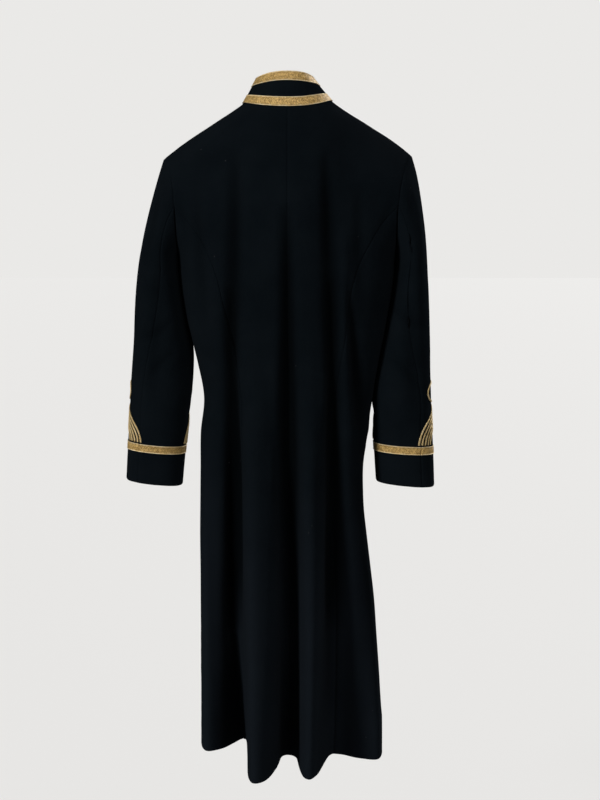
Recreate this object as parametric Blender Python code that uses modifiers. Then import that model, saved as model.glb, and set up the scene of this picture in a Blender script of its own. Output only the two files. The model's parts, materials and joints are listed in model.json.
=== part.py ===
"""A long naval coat of black wool cloth with gold braid, empty but filled out as if worn.

Metres, +Z up. The coat faces -Y and the wearer's left is +X. The origin is the middle of the
neck opening, level with the side neck points, so the coat hangs down from it.
"""
import math
from collections import namedtuple
from functools import lru_cache

import bmesh
import bpy
from mathutils import Vector
from mathutils.kdtree import KDTree

MM = 0.001

# Cloth, seams and trims
CLOTH = 1.8 * MM
SEAM_GAP = 0.3 * MM
BRAID_WIDTH = 18 * MM
BRAID_THICK = 1.2 * MM
CORD_RADIUS = 1.3 * MM
CORD_OUT = CORD_RADIUS + 2 * SEAM_GAP
CORD_PITCH = 7 * MM
BUTTON_RADIUS = 11 * MM
BUTTON_RISE = 7 * MM

# Heights of the body
HEM = -1.218
CHEST = -0.34
SLOPE_STEP = 0.03

# Rows and columns of the panels
SKIRT_ROWS = 14
PRINCESS_ROWS = 4
BACK_ARM_ROWS = 6
FRONT_ARM_ROWS = 9
NECK_BACK_COLUMNS = 7
NECK_FRONT_COLUMNS = 7
SHOULDER_COLUMNS = 9
LEVEL_COLUMNS = 6
SIDE_COLUMNS = 8
CAP_ROWS = 6
EASE_ROUNDS = 8
EASE_REACH = 6

# Level sections of the plain body: half widths to the wearer's left and right, depths back and front
ROUNDNESS = 2.5
Section = namedtuple("Section", "height left right back front")
SECTIONS = (
    Section(-0.250, 0.1980, 0.1940, 0.1200, 0.1280),
    Section(-0.300, 0.1945, 0.1910, 0.1200, 0.1300),
    Section(-0.340, 0.1888, 0.1850, 0.1175, 0.1310),
    Section(-0.390, 0.1810, 0.1765, 0.1100, 0.1260),
    Section(-0.455, 0.1670, 0.1635, 0.1010, 0.1160),
    Section(-0.510, 0.1525, 0.1530, 0.0970, 0.1110),
    Section(-0.560, 0.1580, 0.1498, 0.0980, 0.1120),
    Section(-0.610, 0.1605, 0.1437, 0.1010, 0.1160),
    Section(-0.686, 0.1610, 0.1345, 0.1060, 0.1240),
    Section(-0.735, 0.1628, 0.1395, 0.1090, 0.1290),
    Section(-0.830, 0.1640, 0.1495, 0.1130, 0.1380),
    Section(-0.930, 0.1645, 0.1594, 0.1160, 0.1460),
    Section(-1.090, 0.1642, 0.1680, 0.1180, 0.1580),
    Section(-1.218, 0.1650, 0.1765, 0.1200, 0.1680),
)

# Crests and valleys of the skirt. Turn is in degrees round the waist from the centre back, more
# than 0 to the wearer's left. Start is the height where the fold begins, and across and out are
# the x and y that it reaches at the hem.
FLARE = 1.25
Fold = namedtuple("Fold", "name turn start across out")
FOLDS = (
    Fold("right front fold", -155, -0.50, -0.0800, -0.1620),
    Fold("right front", -134, -0.50, -0.1350, -0.1580),
    Fold("right front corner", -112, -0.50, -0.1720, -0.1080),
    Fold("right side", -90, -0.50, -0.1790, -0.0400),
    Fold("right back corner", -70, -0.50, -0.1680, -0.0010),
    Fold("right back panel", -46, -0.46, -0.1230, -0.0120),
    Fold("third valley", -33, -0.44, -0.0920, -0.0300),
    Fold("second flute outer foot", -27, -0.44, -0.0786, -0.0200),
    Fold("second flute outer flank", -22, -0.44, -0.0664, 0.0240),
    Fold("second flute outer crest", -17, -0.44, -0.0545, 0.0714),
    Fold("second flute crest", -13, -0.44, -0.0400, 0.0944),
    Fold("second flute inner crest", -9.5, -0.44, -0.0265, 0.0820),
    Fold("second flute inner flank", -7, -0.44, -0.0195, 0.0450),
    Fold("second flute inner foot", -4, -0.44, -0.0150, -0.0040),
    Fold("centre back valley", 0, -0.42, -0.0020, -0.0226),
    Fold("first flute inner foot", 4.5, -0.46, 0.0127, -0.0125),
    Fold("first flute inner flank", 8, -0.46, 0.0205, 0.0400),
    Fold("first flute inner crest", 12, -0.46, 0.0370, 0.0930),
    Fold("first flute crest", 17, -0.46, 0.0590, 0.1124),
    Fold("first flute outer crest", 21, -0.46, 0.0725, 0.0930),
    Fold("first flute outer flank", 25, -0.46, 0.0770, 0.0100),
    Fold("first valley", 31, -0.46, 0.0800, -0.0930),
    Fold("first valley far side", 38, -0.46, 0.0960, -0.0975),
    Fold("left back panel", 52, -0.46, 0.1236, -0.0605),
    Fold("left back corner", 70, -0.50, 0.1545, -0.0420),
    Fold("left side", 90, -0.50, 0.1690, -0.0660),
    Fold("left front corner", 112, -0.50, 0.1680, -0.1180),
    Fold("left front", 134, -0.50, 0.1380, -0.1550),
    Fold("left front fold", 155, -0.50, 0.0850, -0.1580),
    Fold("centre front", 180, -0.50, 0.0000, -0.1720),
)

# Seams down the back, in degrees round from the centre back, and the side seam
Seam = namedtuple("Seam", "height left right")
PRINCESS_SEAM = (
    Seam(-0.340, 32.6, 32.0),
    Seam(-0.390, 31.4, 31.4),
    Seam(-0.456, 29.3, 30.2),
    Seam(-0.550, 27.0, 29.8),
    Seam(-0.686, 25.0, 30.0),
    Seam(-1.218, 25.5, 30.0),
)
SIDE_SEAM = 93.0
LAP_TURN = 6.5
LAP_DEPTH = 2.6 * MM
LAP_WEIGHTS = (1.0, 1.0, 1.0, 0.45)

# Neck seam: half widths, depths and heights
NECK_LEFT = 0.0802
NECK_RIGHT = 0.0786
NECK_BACK = 0.066
NECK_FRONT = 0.062
NECK_ROUND = 2.2
NECK_HEIGHTS = {"back": -0.013, "left": -0.001, "right": 0.003, "front": -0.050}

# Top edge of the stand collar, which leans in
COLLAR_SIDE = 0.052
COLLAR_MIDDLE = 0.005
COLLAR_BACK = 0.052
COLLAR_FRONT = 0.050
COLLAR_HEIGHTS = {"back": 0.050, "side": 0.040, "front": 0.002}

# Armhole, as a slanted loop. Turn is 0 at the shoulder tip, 90 at the back and 180 under the arm.
Armhole = namedtuple("Armhole", "name turn left right deep high_left high_right")
ARMHOLE = (
    Armhole("shoulder tip", 0, 0.2228, 0.2216, -0.006, -0.098, -0.092),
    Armhole("back high", 30, 0.2120, 0.2105, 0.030, -0.114, -0.109),
    Armhole("back upper", 60, 0.2040, 0.2015, 0.054, -0.145, -0.140),
    Armhole("back", 90, 0.1992, 0.1938, 0.066, -0.186, -0.184),
    Armhole("back low", 120, 0.1972, 0.1920, 0.058, -0.232, -0.230),
    Armhole("under back", 150, 0.1964, 0.1922, 0.030, -0.264, -0.262),
    Armhole("underarm", 180, 0.1960, 0.1924, -0.008, -0.276, -0.275),
    Armhole("front low", 212, 0.1950, 0.1915, -0.046, -0.258, -0.256),
    Armhole("front", 245, 0.1930, 0.1895, -0.066, -0.212, -0.210),
    Armhole("front upper", 282, 0.1960, 0.1935, -0.066, -0.163, -0.158),
    Armhole("front high", 322, 0.2080, 0.2060, -0.042, -0.122, -0.116),
)
PRINCESS_END = 90.0
FORE_SEAM_START = 240.0

# Sleeves. Inner and outer are the distances from the coat's middle, middle and depth place the
# ring front to back, lift is how much higher its outer edge is, and hind and fore are the turns
# of the two sleeve seams.
SLEEVE_TOP = -0.30
SLEEVE_ROUND = 2.2
SleeveRing = namedtuple("SleeveRing", "height inner outer middle depth lift hind fore")
SLEEVES = {
    1: (
        SleeveRing(-0.3000, 0.1970, 0.2705, -0.004, 0.150, 0.000, 105, 236),
        SleeveRing(-0.3600, 0.1885, 0.2768, -0.008, 0.142, 0.000, 92, 228),
        SleeveRing(-0.4400, 0.1735, 0.2830, -0.015, 0.128, 0.001, 70, 212),
        SleeveRing(-0.5100, 0.1765, 0.2895, -0.021, 0.115, 0.003, 60, 190),
        SleeveRing(-0.6000, 0.1885, 0.2965, -0.031, 0.100, 0.009, 60, 160),
        SleeveRing(-0.6915, 0.1985, 0.3035, -0.043, 0.088, 0.0114, 60, 152),
    ),
    -1: (
        SleeveRing(-0.3000, 0.1935, 0.2515, 0.000, 0.155, 0.000, 105, 236),
        SleeveRing(-0.3600, 0.1850, 0.2545, 0.000, 0.148, 0.000, 102, 228),
        SleeveRing(-0.4400, 0.1695, 0.2570, 0.000, 0.132, 0.000, 78, 215),
        SleeveRing(-0.5100, 0.1568, 0.2595, -0.002, 0.118, -0.002, 56, 200),
        SleeveRing(-0.6000, 0.1562, 0.2657, -0.008, 0.102, -0.006, 60, 190),
        SleeveRing(-0.6896, 0.1620, 0.2703, -0.016, 0.090, -0.0094, 60, 186),
    ),
}
CUFF_PLAIN = 59.3 * MM
SLEEVE_ROW_HEIGHTS = (-0.30, -0.345, -0.39, -0.44, -0.49, -0.535, -0.575)

# Knotwork of cord above each cuff: nested pointed arches and three loops over them
ARCHES = 5
ARCH_HEIGHT = 88 * MM
ARCH_POINT = 0.8
ARCH_POINTS = 23
ARCH_OVERRUN = 4 * MM
LOOP_POINTS = 16
Loop = namedtuple("Loop", "name along up heading length width")
LOOPS = (
    Loop("back", 0.014, 0.097, 0, 0.078, 0.044),
    Loop("top", 0.000, 0.108, 90, 0.066, 0.040),
    Loop("front", -0.014, 0.097, 180, 0.078, 0.044),
)

# Buttons down the centre front
BUTTON_HEIGHTS = (-0.085, -0.160, -0.235, -0.310, -0.385, -0.460, -0.535)

# Cosine of the sharpest turn at which the walls of sleeve and body are mitred
SOFT_ANGLE = 0.3

SIDES = {"left": 1, "right": -1}

WOOL = {"color": (0.012, 0.013, 0.016, 1), "roughness": 0.9, "metallic": 0.0}
GOLD_BRAID = {"color": (0.52, 0.36, 0.13, 1), "roughness": 0.5, "metallic": 0.6}
GOLD_CORD = {"color": (0.60, 0.44, 0.20, 1), "roughness": 0.5, "metallic": 0.6}
BRASS = {"color": (0.66, 0.47, 0.17, 1), "roughness": 0.3, "metallic": 1.0}


def hermite(start, start_pull, end, end_pull, part):
    """A point of the cubic from start to end with the given pulls."""
    square = part * part
    cube = square * part
    return (start * (2 * cube - 3 * square + 1) + start_pull * (cube - 2 * square + part)
            + end * (3 * square - 2 * cube) + end_pull * (cube - square))


def bezier(points, part):
    """A point of the cubic Bezier curve with four control points."""
    rest = 1 - part
    return (points[0] * rest ** 3 + points[1] * (3 * rest * rest * part)
            + points[2] * (3 * rest * part * part) + points[3] * part ** 3)


def through(places, values, at):
    """Smooth value at a place, through a rising list of places with one value each."""
    last = len(places) - 1
    low = max(0, min(last - 1, sum(1 for place in places if place <= at) - 1))
    span = places[low + 1] - places[low]

    def slope(index):
        before = max(0, index - 1)
        after = min(last, index + 1)
        return (values[after] - values[before]) * (1 / (places[after] - places[before]))

    part = (at - places[low]) / span
    return hermite(values[low], slope(low) * span, values[low + 1], slope(low + 1) * span, part)


def at_height(rows, column, height):
    """Smooth value of one column of a table whose rows go down in height."""
    places = [-row.height for row in rows]
    return through(places, [getattr(row, column) for row in rows], -height)


def signed_power(value, power):
    return math.copysign(abs(value) ** power, value)


def plain_ring(turn, height):
    """A point of the body's plain section, before any fold."""
    angle = math.radians(turn)
    side = "left" if math.sin(angle) >= 0 else "right"
    face = "back" if math.cos(angle) >= 0 else "front"
    power = 2 / ROUNDNESS
    return Vector((at_height(SECTIONS, side, height) * signed_power(math.sin(angle), power),
                   at_height(SECTIONS, face, height) * signed_power(math.cos(angle), power),
                   height))


@lru_cache(maxsize=None)
def fold_points(height):
    """Turns and points of all crests and valleys at a height, with three repeated past each end."""
    turns = []
    points = []
    for fold in FOLDS:
        grown = 0.0
        if height < fold.start:
            grown = ((fold.start - height) / (fold.start - HEM)) ** FLARE
        hem_point = Vector((fold.across, fold.out, height))
        turns.append(fold.turn)
        points.append(plain_ring(fold.turn, height).lerp(hem_point, grown))
    turns = [turn - 360 for turn in turns[-3:]] + turns + [turn + 360 for turn in turns[:3]]
    return turns, points[-3:] + points + points[:3]


def body_ring(turn, height):
    """A point of the body's outer face at a turn round it and a height below the chest."""
    turns, points = fold_points(height)
    return through(turns, points, turn)


def princess_turn(side, height):
    return at_height(PRINCESS_SEAM, "left" if side > 0 else "right", height)


def neck_seam(turn):
    """A point of the seam between body and collar, by degrees round from the centre back."""
    angle = math.radians(turn)
    sine = math.sin(angle)
    cosine = math.cos(angle)
    side = "left" if sine >= 0 else "right"
    face = "back" if cosine >= 0 else "front"
    half = NECK_LEFT if sine >= 0 else NECK_RIGHT
    depth = NECK_BACK if cosine >= 0 else NECK_FRONT
    beside = NECK_HEIGHTS[side]
    if face == "front":
        beside = NECK_HEIGHTS[side] * sine * sine
    height = beside + (NECK_HEIGHTS[face] - beside) * cosine * cosine
    power = 2 / NECK_ROUND
    return Vector((half * signed_power(sine, power), depth * signed_power(cosine, power), height))


def collar_edge(turn):
    """A point of the collar's top edge."""
    angle = math.radians(turn)
    sine = math.sin(angle)
    cosine = math.cos(angle)
    face = "back" if cosine >= 0 else "front"
    depth = COLLAR_BACK if cosine >= 0 else COLLAR_FRONT
    beside = COLLAR_HEIGHTS["side"]
    height = beside + (COLLAR_HEIGHTS[face] - beside) * cosine * cosine
    power = 2 / NECK_ROUND
    return Vector((COLLAR_MIDDLE * sine * sine + COLLAR_SIDE * signed_power(sine, power),
                   depth * signed_power(cosine, power), height))


def armhole(side, turn):
    """A point of the armhole seam."""
    column, high = ("left", "high_left") if side > 0 else ("right", "high_right")
    turns = [row.turn for row in ARMHOLE]
    points = [Vector((side * getattr(row, column), row.deep, getattr(row, high))) for row in ARMHOLE]
    turns = [value - 360 for value in turns[-3:]] + turns + [value + 360 for value in turns[:3]]
    points = points[-3:] + points + points[:3]
    return through(turns, points, turn % 360)


def shoulder_seam(side, part):
    """A point of the shoulder seam, from the neck (0) to the shoulder tip (1)."""
    neck = neck_seam(side * 90)
    tip = armhole(side, 0)
    near_neck = Vector((neck.x + side * 0.0245, -0.002, neck.z - 0.020))
    near_tip = Vector((tip.x - side * 0.0420, -0.005, tip.z + 0.037))
    return bezier((neck, near_neck, near_tip, tip), part)


def princess_rise(side):
    """Points of the seam down the back from the chest up to the armhole."""
    start_turn = side * princess_turn(side, CHEST)
    start = body_ring(start_turn, CHEST)
    end = armhole(side, PRINCESS_END)
    near_start = start + Vector((side * 0.009, 0.006, 0.055))
    near_end = end + Vector((side * -0.038, 0.018, -0.034))
    points = (start, near_start, near_end, end)
    return [bezier(points, row / PRINCESS_ROWS) for row in range(PRINCESS_ROWS + 1)]


def side_rise(side):
    """Points of the side seam from the chest up to the underarm."""
    turn = side * SIDE_SEAM
    start = body_ring(turn, CHEST)
    end = armhole(side, 180)
    length = (end - start).length
    slope = (start - body_ring(turn, CHEST - SLOPE_STEP)) * (length / SLOPE_STEP)
    pull = Vector((side * 0.05, 0, 1)) * length
    return [hermite(start, slope, end, pull, row / PRINCESS_ROWS) for row in range(PRINCESS_ROWS + 1)]


def eased(points, corner):
    """The points of a row, evened out near the column where it turns a corner."""
    for _round in range(EASE_ROUNDS):
        before = points[:1] + points[:-1]
        after = points[1:] + points[-1:]
        points = [point.lerp((before[column] + after[column]) / 2,
                             0.5 * max(0, 1 - abs(column - corner) / EASE_REACH))
                  for column, point in enumerate(points)]
    return points


def rise_to(turns_at, tops, top_pulls, outer_edge, inner_edge=None, corner=None):
    """Rows of a panel above the chest, fitted to the seams at its sides.

    turns_at gives the turns of its columns at a height; tops and top_pulls are where the columns
    end and how; outer_edge and inner_edge are the points of the seams at the last and first
    columns, from the chest up; corner is the column of the side neck point, if it has one.
    """
    low = [body_ring(turn, CHEST) for turn in turns_at(CHEST)]
    lower = [body_ring(turn, CHEST - SLOPE_STEP) for turn in turns_at(CHEST - SLOPE_STEP)]
    last = len(low) - 1
    row_count = len(outer_edge) - 1
    rows = []
    for row in range(1, row_count + 1):
        part = row / row_count
        points = []
        for column, start in enumerate(low):
            end = tops[column]
            length = (end - start).length
            slope = (start - lower[column]) * (0.9 * length / SLOPE_STEP)
            points.append(hermite(start, slope, end, top_pulls[column] * length, part))
        outer_miss = outer_edge[row] - points[last]
        inner_miss = inner_edge[row] - points[0] if inner_edge else Vector()
        points = [point + outer_miss * (column / last) ** 2 + inner_miss * (1 - column / last) ** 2
                  for column, point in enumerate(points)]
        rows.append(eased(points, corner) if corner and row < row_count else points)
    return rows


def top_pulls(side, facing, neck_turns):
    """How the columns of the back (facing 1) or the front (facing -1) reach their tops.

    They rise to the middle of the neck, lean in at its side, and lie level over the shoulder.
    """
    steep = Vector((0, -0.55 * facing, 0.80))
    leaning = Vector((-0.26 * side, -0.74 * facing, 0.30))
    level = Vector((0, -0.85 * facing, 0.12))
    neck = [steep.lerp(leaning, math.sin(math.radians(turn)) ** 2) for turn in neck_turns]
    shoulder = [leaning.lerp(level, min(1, column / LEVEL_COLUMNS))
                for column in range(1, SHOULDER_COLUMNS + 1)]
    return neck + shoulder


def skirt_rows(turns_at):
    """Rows of a panel from the hem up to the chest."""
    heights = [HEM + (CHEST - HEM) * row / SKIRT_ROWS for row in range(SKIRT_ROWS + 1)]
    return [[body_ring(turn, height) for turn in turns_at(height)] for height in heights]


def shoulder_tops(side):
    return [shoulder_seam(side, column / SHOULDER_COLUMNS) for column in range(1, SHOULDER_COLUMNS + 1)]


def back_panel(side):
    columns = NECK_BACK_COLUMNS + SHOULDER_COLUMNS

    def turns_at(height):
        seam = side * princess_turn(side, height)
        return [seam * column / columns for column in range(columns + 1)]

    neck_turns = [90 * column / NECK_BACK_COLUMNS for column in range(NECK_BACK_COLUMNS + 1)]
    tops = [neck_seam(side * turn) for turn in neck_turns] + shoulder_tops(side)
    pulls = top_pulls(side, 1, neck_turns)
    arm = [armhole(side, PRINCESS_END * (1 - row / BACK_ARM_ROWS)) for row in range(1, BACK_ARM_ROWS + 1)]
    return skirt_rows(turns_at) + rise_to(turns_at, tops, pulls, princess_rise(side) + arm,
                                          corner=NECK_BACK_COLUMNS)


def side_back_panel(side):
    def turns_at(height):
        seam = princess_turn(side, height)
        return [side * (seam + (SIDE_SEAM - seam) * column / SIDE_COLUMNS)
                for column in range(SIDE_COLUMNS + 1)]

    span = 180 - PRINCESS_END
    tops = [armhole(side, PRINCESS_END + span * column / SIDE_COLUMNS)
            for column in range(SIDE_COLUMNS + 1)]
    pulls = [Vector((side * 0.15, -0.1, 1))] * (SIDE_COLUMNS + 1)
    return skirt_rows(turns_at) + rise_to(turns_at, tops, pulls, side_rise(side), princess_rise(side))


def front_panel(side):
    columns = NECK_FRONT_COLUMNS + SHOULDER_COLUMNS

    def turns_at(_height):
        across = [180 + (SIDE_SEAM - 180) * column / columns for column in range(columns + 1)]
        return [side * turn for turn in [180 + LAP_TURN] + across]

    neck_turns = [180 + LAP_TURN] + [180 - 90 * column / NECK_FRONT_COLUMNS
                                     for column in range(NECK_FRONT_COLUMNS + 1)]
    tops = [neck_seam(side * turn) for turn in neck_turns] + shoulder_tops(side)
    pulls = top_pulls(side, -1, neck_turns)
    arm = [armhole(side, 180 + 180 * row / FRONT_ARM_ROWS) for row in range(1, FRONT_ARM_ROWS + 1)]
    return skirt_rows(turns_at) + rise_to(turns_at, tops, pulls, side_rise(side) + arm,
                                          corner=NECK_FRONT_COLUMNS + 1)


def sleeve_ring(side, turn, height):
    """A point of the sleeve's outer face below the underarm."""
    rows = SLEEVES[side]
    inner = at_height(rows, "inner", height)
    outer = at_height(rows, "outer", height)
    angle = math.radians(turn)
    out = signed_power(math.cos(angle), 2 / SLEEVE_ROUND)
    back = signed_power(math.sin(angle), 2 / SLEEVE_ROUND)
    return Vector((side * ((inner + outer) / 2 + out * (outer - inner) / 2),
                   at_height(rows, "middle", height) + back * at_height(rows, "depth", height) / 2,
                   height + out * at_height(rows, "lift", height) / 2))


def sleeve_heights(side):
    """Heights of the sleeve's level rows, with one at each edge of the braid."""
    hem = SLEEVES[side][-1].height
    braid_low = hem + CUFF_PLAIN
    return SLEEVE_ROW_HEIGHTS + (braid_low + BRAID_WIDTH, braid_low, hem + CUFF_PLAIN / 2, hem)


def sleeve_panel(side, arm_turns, ring_turns_at):
    """Rows of one piece of the sleeve, from the armhole down to the cuff's edge."""
    ring_turns = ring_turns_at(SLEEVE_TOP)
    rows = []
    for row in range(CAP_ROWS):
        part = row / CAP_ROWS
        points = []
        for arm_turn, ring_turn in zip(arm_turns, ring_turns):
            start = armhole(side, arm_turn)
            end = sleeve_ring(side, ring_turn, SLEEVE_TOP)
            length = (end - start).length
            angle = math.radians(arm_turn)
            across = 0.19 + 0.14 * math.cos(angle) + 0.45 * math.sin(angle) ** 2
            lean = Vector((side * across, 0.10 * math.sin(angle), -1))
            slope = (sleeve_ring(side, ring_turn, SLEEVE_TOP - SLOPE_STEP) - end) / SLOPE_STEP
            points.append(hermite(start, lean.normalized() * length, end, slope * length, part))
        rows.append(points)
    for height in sleeve_heights(side):
        rows.append([sleeve_ring(side, turn, height) for turn in ring_turns_at(height)])
    return rows


def even_turns(start, end, count):
    return [start + (end - start) * step / count for step in range(count + 1)]


FORE_ROWS = round((FORE_SEAM_START - 180) * FRONT_ARM_ROWS / 180)


def top_sleeve(side):
    """The outer piece of the sleeve, from the forearm seam round the front to the hindarm seam."""
    arm_turns = (even_turns(FORE_SEAM_START, 360, FRONT_ARM_ROWS - FORE_ROWS)
                 + even_turns(360, 360 + PRINCESS_END, BACK_ARM_ROWS)[1:])

    def ring_turns_at(height):
        return even_turns(at_height(SLEEVES[side], "fore", height),
                          at_height(SLEEVES[side], "hind", height) + 360, len(arm_turns) - 1)

    return sleeve_panel(side, arm_turns, ring_turns_at)


def under_sleeve(side):
    """The piece of the sleeve next to the body, from the hindarm seam to the forearm seam."""
    arm_turns = (even_turns(PRINCESS_END, 180, SIDE_COLUMNS)
                 + even_turns(180, FORE_SEAM_START, FORE_ROWS)[1:])

    def ring_turns_at(height):
        return even_turns(at_height(SLEEVES[side], "hind", height),
                          at_height(SLEEVES[side], "fore", height), len(arm_turns) - 1)

    return sleeve_panel(side, arm_turns, ring_turns_at)


def collar_turns():
    """Turns of the collar's columns, which meet those of the body at the neck seam."""
    back = [90 * column / NECK_BACK_COLUMNS for column in range(NECK_BACK_COLUMNS + 1)]
    front = [90 + 90 * column / NECK_FRONT_COLUMNS for column in range(1, NECK_FRONT_COLUMNS + 1)]
    half = back[1:] + front
    return [-turn for turn in reversed(half)] + [0] + half


def collar_rows():
    """Rows of the collar, at its seam, at the inner edge of each braid and at its top edge."""
    braid = BRAID_WIDTH / (collar_edge(0) - neck_seam(0)).length
    return [[neck_seam(turn).lerp(collar_edge(turn), part) for turn in collar_turns()]
            for part in (0, braid, 1 - braid, 1)]


def grid_normals(rows, facing):
    """Outward directions at the points of a grid. Facing is 1 or -1, by how its rows run."""
    last_row = len(rows) - 1
    last_column = len(rows[0]) - 1
    normals = []
    for row in range(last_row + 1):
        line = []
        for column in range(last_column + 1):
            up = rows[min(row + 1, last_row)][column] - rows[max(row - 1, 0)][column]
            along = rows[row][min(column + 1, last_column)] - rows[row][max(column - 1, 0)]
            line.append(up.cross(along).normalized() * facing)
        normals.append(line)
    return normals


def is_edge(grid, row, column):
    return row in (0, len(grid) - 1) or column in (0, len(grid[0]) - 1)


def shared_normals(panels):
    """Normals of all panels, made equal where they meet at a soft angle, so that walls mitre.

    The sleeves share with the body only where the armhole seam turns softly.
    """
    own = {name: grid_normals(rows, facing) for name, (rows, facing) in panels.items()}
    edges = [(rows[row][column], own[name][row][column], "sleeve" in name)
             for name, (rows, _facing) in panels.items()
             for row in range(len(rows)) for column in range(len(rows[0]))
             if is_edge(rows, row, column)]
    tree = KDTree(len(edges))
    for index, (point, _normal, _sleeve) in enumerate(edges):
        tree.insert(point, index)
    tree.balance()
    shared = {}
    for name, (rows, _facing) in panels.items():
        shared[name] = [line[:] for line in own[name]]
        for row, points in enumerate(rows):
            for column, point in enumerate(points):
                if not is_edge(rows, row, column):
                    continue
                totals = {True: Vector(), False: Vector()}
                for _co, index, _distance in tree.find_range(point, 0.05 * MM):
                    totals[edges[index][2]] += edges[index][1].normalized()
                mean = totals["sleeve" in name].normalized()
                other = totals["sleeve" not in name].normalized()
                if mean.dot(other) > SOFT_ANGLE:
                    mean = (mean + other).normalized()
                shared[name][row][column] = mean
    return shared


def drawn_in(rows):
    """The grid with its edges half a seam gap inside the seam lines."""
    last_row = len(rows) - 1
    last_column = len(rows[0]) - 1
    drawn = []
    for row in range(last_row + 1):
        line = []
        for column in range(last_column + 1):
            point = rows[row][column].copy()
            if row in (0, last_row):
                inside = rows[1 if row == 0 else last_row - 1][column]
                point += (inside - rows[row][column]).normalized() * SEAM_GAP / 2
            if column in (0, last_column):
                inside = rows[row][1 if column == 0 else last_column - 1]
                point += (inside - rows[row][column]).normalized() * SEAM_GAP / 2
            line.append(point)
        drawn.append(line)
    return drawn


def material(name, look):
    new = bpy.data.materials.new(name)
    new.use_nodes = True
    shader = new.node_tree.nodes["Principled BSDF"]
    shader.inputs["Base Color"].default_value = look["color"]
    shader.inputs["Roughness"].default_value = look["roughness"]
    shader.inputs["Metallic"].default_value = look["metallic"]
    return new


def add_object(name, data, look):
    new = bpy.data.objects.new(name, data)
    new.data.materials.append(material(name, look))
    coat.objects.link(new)
    return new


def wall(name, rows, normals, look, low, high):
    """A closed wall between two faces, low and high metres out from a grid of points."""
    height = len(rows)
    width = len(rows[0])
    points = [rows[row][column] + normals[row][column] * out
              for out in (high, low) for row in range(height) for column in range(width)]

    def at(layer, row, column):
        return (layer * height + row) * width + column

    faces = []
    for row in range(height - 1):
        for column in range(width - 1):
            near, far = (row, column), (row + 1, column + 1)
            for corners in ((near, (row, column + 1), far), (near, far, (row + 1, column))):
                faces.append([at(0, *corner) for corner in corners])
                faces.append([at(1, *corner) for corner in reversed(corners)])
    around = ([(0, column) for column in range(width)]
              + [(row, width - 1) for row in range(1, height)]
              + [(height - 1, column) for column in range(width - 2, -1, -1)]
              + [(row, 0) for row in range(height - 2, 0, -1)])
    for here, there in zip(around, around[1:] + around[:1]):
        rim = [at(0, *there), at(0, *here), at(1, *here), at(1, *there)]
        if points[rim[0]].z < points[rim[1]].z:
            faces += [[rim[0], rim[1], rim[2]], [rim[0], rim[2], rim[3]]]
        else:
            faces += [[rim[0], rim[1], rim[3]], [rim[1], rim[2], rim[3]]]
    mesh = bpy.data.meshes.new(name)
    mesh.from_pydata(points, [], faces)
    body = bmesh.new()
    body.from_mesh(mesh)
    if body.calc_volume(signed=True) < 0:
        bmesh.ops.reverse_faces(body, faces=body.faces)
    body.to_mesh(mesh)
    body.free()
    mesh.shade_smooth()
    mesh.set_sharp_from_angle(angle=math.radians(50))
    return add_object(name, mesh, look)


def lay_on(name, rows, facing, look):
    """A braid on top of the rows of a panel that it is sewn to."""
    normals = grid_normals(rows, facing)
    return wall(name, drawn_in(rows), normals, look, SEAM_GAP, SEAM_GAP + BRAID_THICK)


@lru_cache(maxsize=None)
def ring_lengths(side, height):
    """Length round the sleeve from its motif's middle, one entry for each degree either way."""
    middle = motif_middle(side)
    lengths = {0: 0.0}
    for way in (1, -1):
        for step in range(1, 181):
            here = sleeve_ring(side, middle + way * step, height)
            before = sleeve_ring(side, middle + way * (step - 1), height)
            lengths[way * step] = lengths[way * (step - 1)] + way * (here - before).length
    return lengths


@lru_cache(maxsize=None)
def motif_middle(side):
    height = SLEEVES[side][-1].height + CUFF_PLAIN + BRAID_WIDTH
    return (at_height(SLEEVES[side], "fore", height) + at_height(SLEEVES[side], "hind", height) + 360) / 2


def on_sleeve(side, along, up):
    """Middle of a cord, along and up over the sleeve from the knotwork's middle at the braid."""
    height = SLEEVES[side][-1].height + CUFF_PLAIN + BRAID_WIDTH + up
    lengths = ring_lengths(side, round(height, 4))
    steps = sorted(lengths)
    turn = motif_middle(side) + through([lengths[step] for step in steps], steps, along)
    point = sleeve_ring(side, turn, height)
    ahead = sleeve_ring(side, turn + 1, height) - sleeve_ring(side, turn - 1, height)
    above = sleeve_ring(side, turn, height + MM) - sleeve_ring(side, turn, height - MM)
    normal = ahead.cross(above).normalized() * side
    return point + normal * CORD_OUT


def cord(name, points, closed):
    curve = bpy.data.curves.new(name, "CURVE")
    curve.dimensions = "3D"
    curve.bevel_depth = CORD_RADIUS
    curve.bevel_resolution = 0
    curve.use_fill_caps = True
    spline = curve.splines.new("POLY")
    spline.points.add(len(points) - 1)
    for spot, point in zip(spline.points, points):
        spot.co = (*point, 1)
    spline.use_cyclic_u = closed
    return add_object(name, curve, GOLD_CORD)


def arch_height(part):
    """Height of a pointed arch of height 1 at a part of its half width."""
    inside = (part + ARCH_POINT) / (1 + ARCH_POINT)
    middle = ARCH_POINT / (1 + ARCH_POINT)
    return math.sqrt(max(0.0, 1 - inside * inside)) / math.sqrt(1 - middle * middle)


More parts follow.
